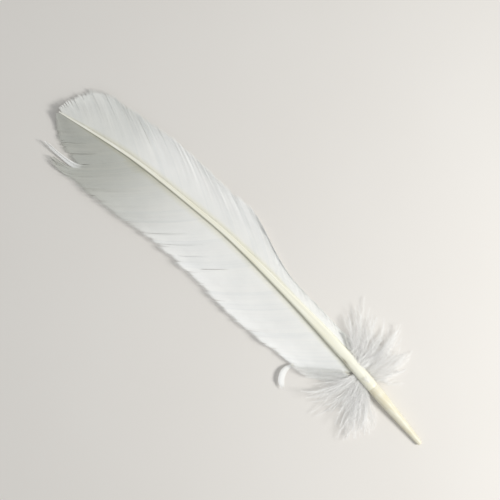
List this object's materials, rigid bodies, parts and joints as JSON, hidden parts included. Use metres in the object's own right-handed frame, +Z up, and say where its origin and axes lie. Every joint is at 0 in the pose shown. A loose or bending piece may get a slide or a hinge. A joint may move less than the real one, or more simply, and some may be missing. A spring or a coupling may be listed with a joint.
{
  "type": "quill pen",
  "caption": "Natural white wing quill with a hollow pointed barrel, a grooved bowed shaft, a wide and a narrow vane and downy barbs round the barrel's top.",
  "frame": {"origin": "bottom centre of the bounding box of the quill as it lies on a surface, grooved side up", "axes": "+Y along the chord from the barrel's point to the vane's tip, +X towards the narrow vane, +Z up"},
  "size_m": [0.0776, 0.3016, 0.0096],
  "materials": {
    "barrel_horn": "satin",
    "pulp_membrane": "matte",
    "shaft_horn": "satin",
    "pith_foam": "matte",
    "vane_barbs": "matte",
    "down_barbs": "matte"
  },
  "bodies": {
    "root": {"calamus_barrel": "barrel_horn", "curled_barb_strip": "vane_barbs", "inferior_umbilicus_plug": "pulp_membrane", "loose_barb_lock_01": "vane_barbs", "loose_barb_lock_02": "vane_barbs", "narrow_down_01": "down_barbs", "narrow_down_02": "down_barbs", "narrow_down_03": "down_barbs", "narrow_down_04": "down_barbs", "narrow_down_05": "down_barbs", "narrow_down_06": "down_barbs", "narrow_down_07": "down_barbs", "narrow_vane_web_01": "vane_barbs", "narrow_vane_web_02": "vane_barbs", "narrow_vane_web_03": "vane_barbs", "narrow_vane_web_04": "vane_barbs", "narrow_vane_web_05": "vane_barbs", "narrow_vane_web_06": "vane_barbs", "narrow_vane_web_07": "vane_barbs", "narrow_vane_web_08": "vane_barbs", "narrow_vane_web_09": "vane_barbs", "narrow_vane_web_10": "vane_barbs", "narrow_vane_web_11": "vane_barbs", "pith_septum": "pulp_membrane", "pulp_cap_01": "pulp_membrane", "pulp_cap_02": "pulp_membrane", "pulp_cap_03": "pulp_membrane", "pulp_cap_04": "pulp_membrane", "pulp_cap_05": "pulp_membrane", "pulp_cap_06": "pulp_membrane", "pulp_cap_07": "pulp_membrane", "rachis_cortex": "shaft_horn", "rachis_pith": "pith_foam", "superior_umbilicus_tuft": "down_barbs", "wide_down_01": "down_barbs", "wide_down_02": "down_barbs", "wide_down_03": "down_barbs", "wide_down_04": "down_barbs", "wide_down_05": "down_barbs", "wide_down_06": "down_barbs", "wide_down_07": "down_barbs", "wide_vane_web_01": "vane_barbs", "wide_vane_web_02": "vane_barbs", "wide_vane_web_03": "vane_barbs", "wide_vane_web_04": "vane_barbs", "wide_vane_web_05": "vane_barbs", "wide_vane_web_06": "vane_barbs", "wide_vane_web_07": "vane_barbs", "wide_vane_web_08": "vane_barbs", "wide_vane_web_09": "vane_barbs", "wide_vane_web_10": "vane_barbs"}
  },
  "joints": []
}
